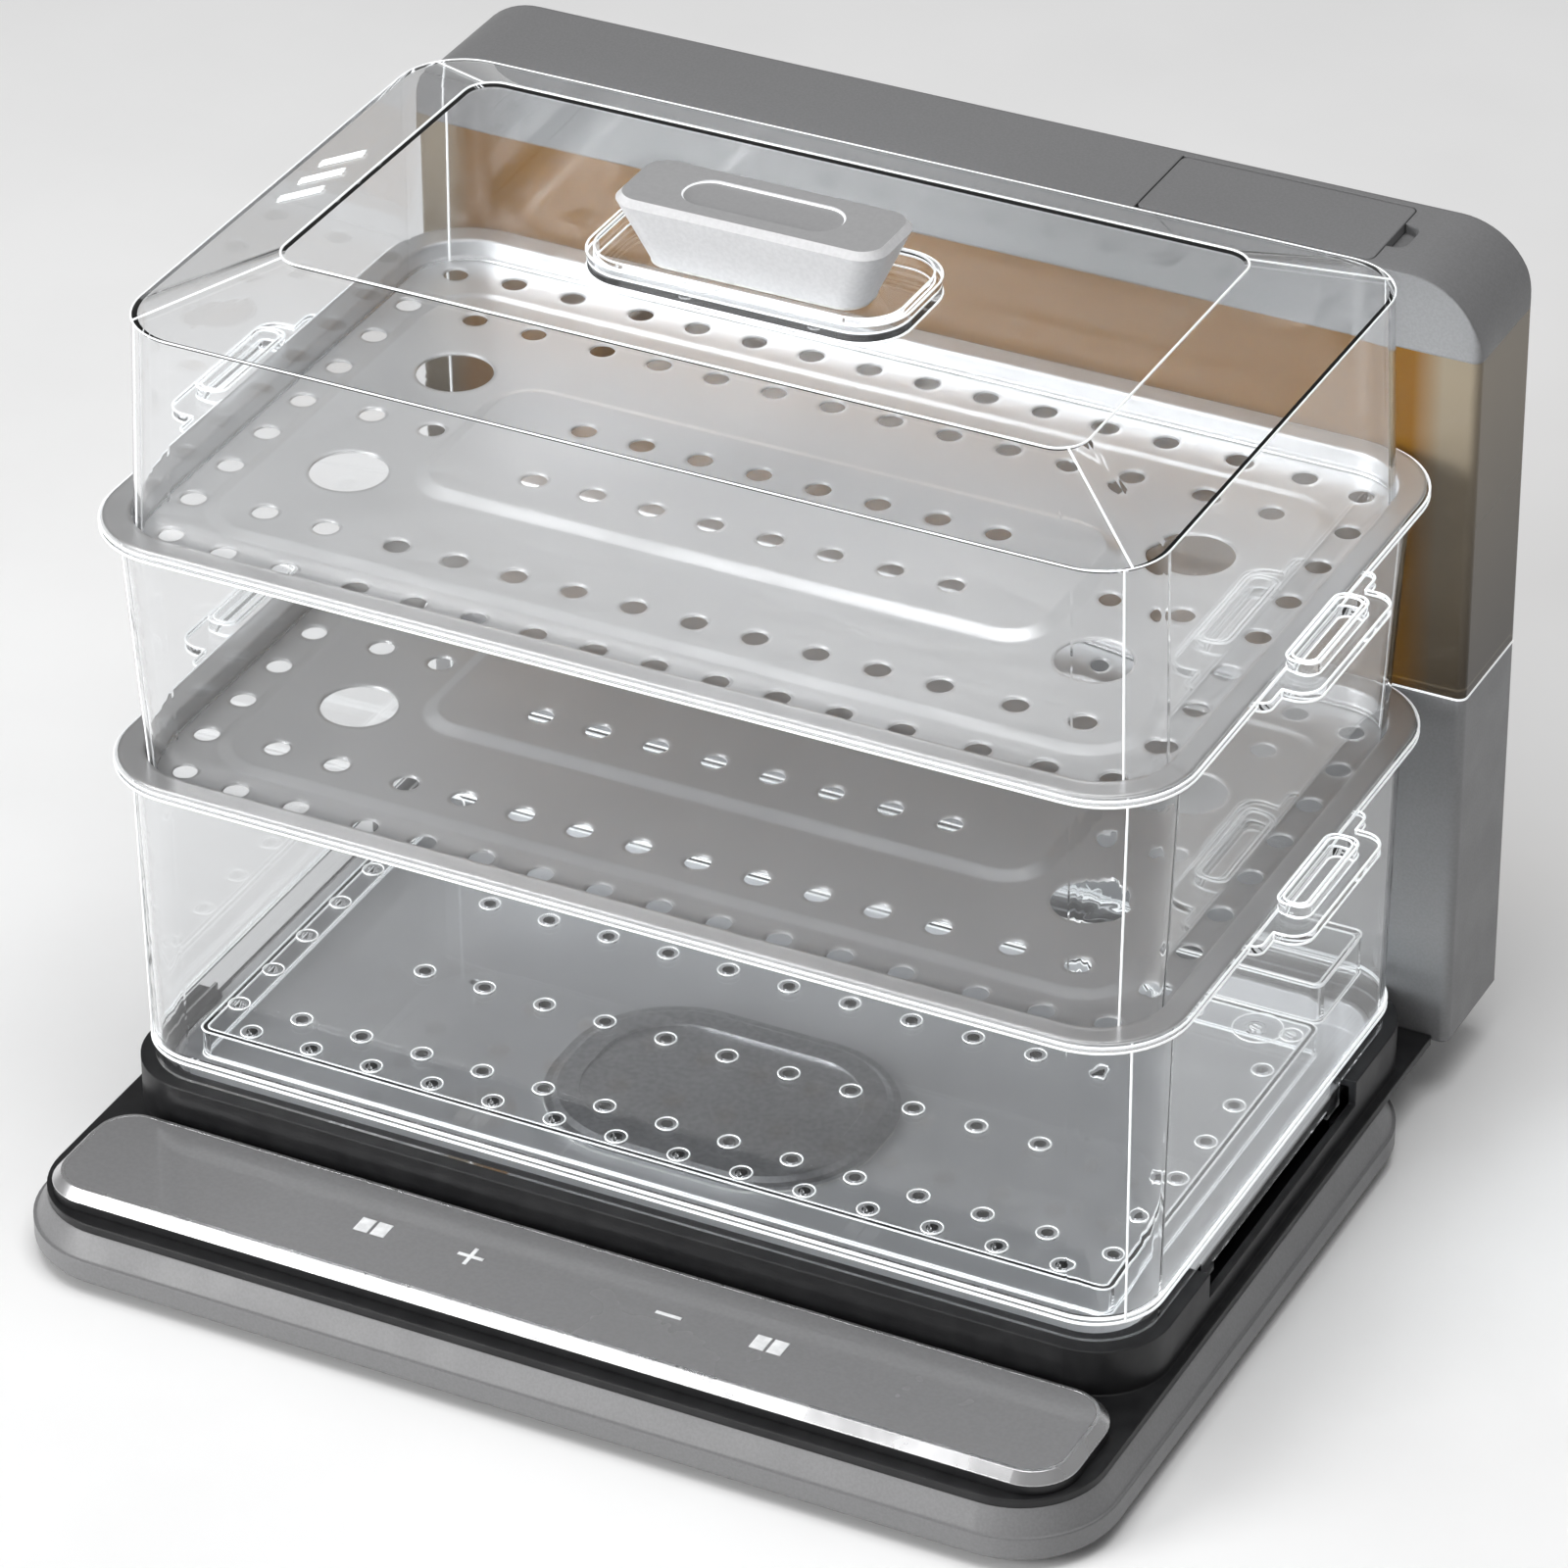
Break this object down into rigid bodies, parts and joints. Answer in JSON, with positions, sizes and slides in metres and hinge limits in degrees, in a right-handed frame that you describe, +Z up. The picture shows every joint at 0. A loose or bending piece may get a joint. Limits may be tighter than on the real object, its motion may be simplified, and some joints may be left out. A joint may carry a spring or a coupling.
{
  "type": "electric food steamer",
  "caption": "Electric food steamer: heated base with touch bar, rear water tank with filler flap, two clear boxes, two perforated steel trays and a clear lid.",
  "frame": {"origin": "on the table, under the middle of the overall footprint", "axes": "+Z up, +Y from the control bar towards the rear water tower, +X to the right seen from the front"},
  "size_m": [0.398, 0.336, 0.345],
  "materials": {
    "silver_plastic": "silver grey, satin",
    "dark_plastic": "near black, fine texture",
    "clear_plastic": "clear moulded plastic, polished",
    "smoked_tank": "smoked clear plastic, polished",
    "stainless": "bright pressed stainless steel",
    "polished_trim": "polished",
    "panel_glass": "grey printed glass",
    "white_print": "printed white",
    "rubber_dark": "matt",
    "silicone": "translucent silicone",
    "heater_alloy": "cast, lightly marked",
    "steel_zinc": "zinc plated",
    "board_green": "printed circuit board",
    "pale_grip": "pale satin plastic",
    "grey_inlay": "grey satin"
  },
  "bodies": {
    "base": {"base_pan": "silver_plastic", "base_bottom_cover": "dark_plastic", "rubber_feet": "rubber_dark", "base_screws": "steel_zinc", "base_deck": "dark_plastic", "basin_pan": "stainless", "heating_plate": "heater_alloy", "plate_gasket": "silicone", "heating_element": "steel_zinc", "thermostat": "steel_zinc", "thermal_fuse": "steel_zinc", "control_panel_housing": "dark_plastic", "panel_trim": "polished_trim", "panel_glass": "panel_glass", "touch_icons": "white_print", "control_board": "board_green", "touch_springs": "steel_zinc", "power_board": "board_green", "water_pump": "dark_plastic", "inlet_hose": "silicone", "outlet_hose": "silicone", "tower_housing": "silver_plastic", "tower_back_cover": "dark_plastic", "tower_screws": "steel_zinc", "tank_dock": "dark_plastic", "dock_seal": "silicone", "valve_pin": "pale_grip", "cable_gland": "dark_plastic"},
    "water_tank": {"tank_shell": "smoked_tank", "tank_cap": "silver_plastic", "tank_cap_seal": "silicone", "valve_body": "pale_grip", "valve_spring": "steel_zinc", "hinge_pin": "steel_zinc"},
    "valve": {"valve_plunger": "pale_grip", "valve_seal": "silicone"},
    "filler_flap": {"fill_lid": "silver_plastic", "fill_lid_seal": "silicone"},
    "lower_box": {"lower_clear_box": "clear_plastic", "lower_floor": "clear_plastic", "locating_rim": "clear_plastic", "rear_shelf": "clear_plastic"},
    "middle_tray": {"middle_steel_tray": "stainless"},
    "middle_box": {"middle_clear_box": "clear_plastic"},
    "upper_tray": {"upper_steel_tray": "stainless"},
    "lid": {"lid_shell": "clear_plastic", "lid_handle": "pale_grip", "handle_inlay": "grey_inlay", "handle_seal": "silicone", "handle_screws": "steel_zinc"}
  },
  "joints": [
    {"name": "lower_box_lift", "type": "slide", "parent": "base", "child": "lower_box", "axis": [0, 0, 1], "range_m": [0, 0.12]},
    {"name": "middle_tray_lift", "type": "slide", "parent": "lower_box", "child": "middle_tray", "axis": [0, 0, 1], "range_m": [0, 0.13]},
    {"name": "middle_box_lift", "type": "slide", "parent": "middle_tray", "child": "middle_box", "axis": [0, 0, 1], "range_m": [0, 0.12]},
    {"name": "upper_tray_lift", "type": "slide", "parent": "middle_box", "child": "upper_tray", "axis": [0, 0, 1], "range_m": [0, 0.12]},
    {"name": "lid_lift", "type": "slide", "parent": "upper_tray", "child": "lid", "axis": [0, 0, 1], "range_m": [0, 0.12]},
    {"name": "tank_lift", "type": "slide", "parent": "base", "child": "water_tank", "axis": [0, 0, 1], "range_m": [0, 0.15]},
    {"name": "fill_lid_hinge", "type": "hinge", "parent": "water_tank", "child": "filler_flap", "pos_m": [0.0736, 0.1459, 0.302], "axis": [0, -1, 0], "range_deg": [0, 100]},
    {"name": "valve_travel", "type": "slide", "parent": "water_tank", "child": "valve", "axis": [0, 0, 1], "range_m": [0, 0.004], "stiffness_N_per_m": 150, "springref_m": -0.004, "deforming": ["valve_spring"]}
  ]
}
